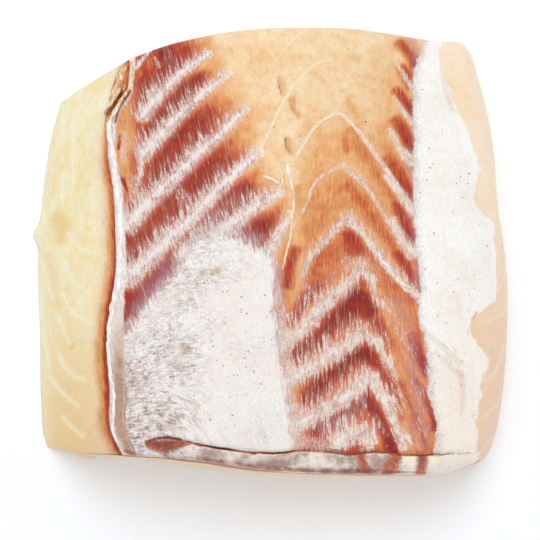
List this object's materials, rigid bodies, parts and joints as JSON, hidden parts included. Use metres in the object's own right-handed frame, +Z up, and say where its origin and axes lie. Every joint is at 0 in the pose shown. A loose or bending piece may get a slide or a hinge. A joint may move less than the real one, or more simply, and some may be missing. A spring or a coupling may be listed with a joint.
{
  "type": "shark fillet",
  "caption": "Thick block of raw shark loin, cut across the fish and laid skin side up, with red muscle bands and white fascia.",
  "frame": {"origin": "middle of the foot's bounding box, on the surface that the block lies on", "axes": "+X across the fish from the cut face to the flank, +Y along the fish, +Z up from the flat underside to the skin side"},
  "size_m": [0.1564, 0.1422, 0.0452],
  "materials": {
    "flesh": "wet raw fish flesh, pale orange with red bands and white fascia"
  },
  "bodies": {
    "root": {"fillet": "flesh"}
  },
  "joints": []
}
